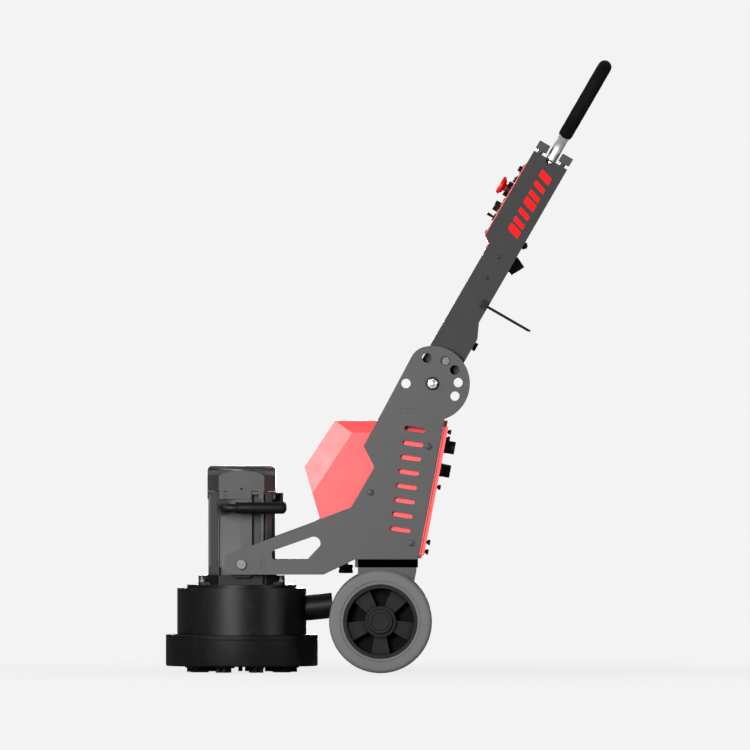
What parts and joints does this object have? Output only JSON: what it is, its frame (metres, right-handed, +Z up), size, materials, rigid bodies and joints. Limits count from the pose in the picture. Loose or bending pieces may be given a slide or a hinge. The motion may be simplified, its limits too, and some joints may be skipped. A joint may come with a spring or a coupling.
{
  "type": "concrete grinder",
  "caption": "Walk-behind concrete floor grinder: rocking single-disc head with dust drum, two-wheeled plate frame with a red enclosure, and an indexing folding handle with a control panel.",
  "frame": {"origin": "on the floor, under the centre of the machine's bounding box", "axes": "+Z up, +X from the grinding head towards the operator, +Y to the operator's right as it stands, across the machine"},
  "size_m": [0.9374, 0.34, 1.2863],
  "materials": {
    "frame_grey": "satin textured powder coat",
    "arm_grey": "satin textured powder coat",
    "cap_grey": "satin powder coat",
    "signal_red": "satin powder coat",
    "drum_black": "semi-gloss black powder coat",
    "motor_grey": "painted cast aluminium",
    "cowl_grey": "painted pressed steel",
    "black_steel": "black oxide",
    "zinc_steel": "zinc plated",
    "bright_chrome": "polished",
    "tyre_grey": "grey solid rubber",
    "rim_black": "moulded, fine texture",
    "rubber_black": "matt",
    "grip_foam": "closed-cell foam",
    "plastic_black": "moulded",
    "button_red": "gloss moulded",
    "button_green": "gloss moulded",
    "copper_core": "laminated core",
    "disc_steel": "machined",
    "diamond_metal": "sintered metal bond"
  },
  "bodies": {
    "chassis": {"side_plate_left": "frame_grey", "side_plate_right": "frame_grey", "frame_ties": "frame_grey", "rest_buffer": "rubber_black", "base_plate": "rubber_black", "axle_bracket": "frame_grey", "axle": "zinc_steel", "enclosure": "signal_red", "rear_cover": "signal_red", "rear_sockets": "plastic_black", "frame_screws": "black_steel", "inverter": "plastic_black", "enclosure_gland": "plastic_black", "pivot_bolt": "zinc_steel"},
    "wheel_left": {"tyre_left": "tyre_grey", "rim_left": "rim_black", "wheel_bearings_left": "zinc_steel", "hub_cap_left": "rim_black"},
    "wheel_right": {"tyre_right": "tyre_grey", "rim_right": "rim_black", "wheel_bearings_right": "zinc_steel", "hub_cap_right": "rim_black"},
    "head": {"motor_housing": "motor_grey", "fan_cowl": "cowl_grey", "motor_stator": "copper_core", "motor_flange": "drum_black", "motor_bearings": "zinc_steel", "motor_bolts": "zinc_steel", "dust_drum": "drum_black", "dust_port": "drum_black", "dust_skirt": "rubber_black", "trunnion_pins": "zinc_steel", "lift_bars": "black_steel", "lift_grips": "rubber_black", "motor_gland": "plastic_black"},
    "disc": {"rotor_shaft": "zinc_steel", "rotor_core": "copper_core", "cooling_fan": "plastic_black", "disc_adapter": "disc_steel", "grinding_disc": "disc_steel", "diamond_segments": "diamond_metal"},
    "handle": {"arm_cheeks": "arm_grey", "arm_channel": "arm_grey", "control_panel": "signal_red", "panel_fittings": "plastic_black", "control_box": "plastic_black", "handle_tube": "bright_chrome", "handle_grip": "grip_foam", "tube_clamps": "cap_grey", "arm_bolts": "black_steel", "power_socket": "plastic_black", "cable_hook": "black_steel"},
    "lock_pin_left": {"lock_pin_left": "zinc_steel"},
    "lock_pin_right": {"lock_pin_right": "zinc_steel"},
    "release_knob": {"release_knob": "plastic_black"},
    "estop_cap": {"estop_cap": "button_red"},
    "start_button": {"start_button": "button_green"},
    "stop_button": {"stop_button": "plastic_black"},
    "speed_knob": {"speed_knob": "plastic_black"},
    "direction_switch": {"direction_switch": "plastic_black"}
  },
  "joints": [
    {"name": "wheel_left_spin", "type": "hinge", "parent": "chassis", "child": "wheel_left", "pos_m": [-0.01668, 0.144, 0.1079], "axis": [0, 1, 0], "continuous": true},
    {"name": "wheel_right_spin", "type": "hinge", "parent": "chassis", "child": "wheel_right", "pos_m": [-0.01668, -0.144, 0.1079], "axis": [0, 1, 0], "continuous": true},
    {"name": "head_rock", "type": "hinge", "parent": "chassis", "child": "head", "pos_m": [-0.30868, 0, 0.227], "axis": [0, 1, 0], "range_deg": [-4, 4]},
    {"name": "disc_spin", "type": "hinge", "parent": "head", "child": "disc", "pos_m": [-0.30868, 0, 0.03], "axis": [0, 0, 1], "continuous": true},
    {"name": "handle_fold", "type": "hinge", "parent": "chassis", "child": "handle", "pos_m": [0.09212, 0, 0.6073], "axis": [0, 1, 0], "range_deg": [-120, 89]},
    {"name": "lock_pin_left_slide", "type": "slide", "parent": "handle", "child": "lock_pin_left", "axis": [0, 1, 0], "range_m": [0, 0.0065]},
    {"name": "lock_pin_right_slide", "type": "slide", "parent": "handle", "child": "lock_pin_right", "axis": [0, -1, 0], "range_m": [0, 0.0065]},
    {"name": "release_knob_turn", "type": "hinge", "parent": "handle", "child": "release_knob", "pos_m": [0.17904, 0, 0.68644], "axis": [0.866, 0, -0.5], "range_deg": [0, 60]},
    {"name": "estop_cap_press", "type": "slide", "parent": "handle", "child": "estop_cap", "axis": [0.866, 0, -0.5], "range_m": [0, 0.0035], "stiffness_N_per_m": 1500},
    {"name": "start_button_press", "type": "slide", "parent": "handle", "child": "start_button", "axis": [0.866, 0, -0.5], "range_m": [0, 0.0025], "stiffness_N_per_m": 600},
    {"name": "stop_button_press", "type": "slide", "parent": "handle", "child": "stop_button", "axis": [0.866, 0, -0.5], "range_m": [0, 0.003], "stiffness_N_per_m": 600},
    {"name": "speed_knob_turn", "type": "hinge", "parent": "handle", "child": "speed_knob", "pos_m": [0.23512, 0.03, 0.97738], "axis": [-0.866, 0, 0.5], "range_deg": [-135, 135]},
    {"name": "direction_switch_toggle", "type": "hinge", "parent": "handle", "child": "direction_switch", "pos_m": [0.22312, -0.03, 0.9566], "axis": [0, 1, 0], "range_deg": [-15, 15]}
  ],
  "couplings": [
    {"joint": "lock_pin_right_slide", "follows": "lock_pin_left_slide", "ratio": 1},
    {"joint": "release_knob_turn", "follows": "lock_pin_left_slide", "rad_per_m": 161.09}
  ]
}
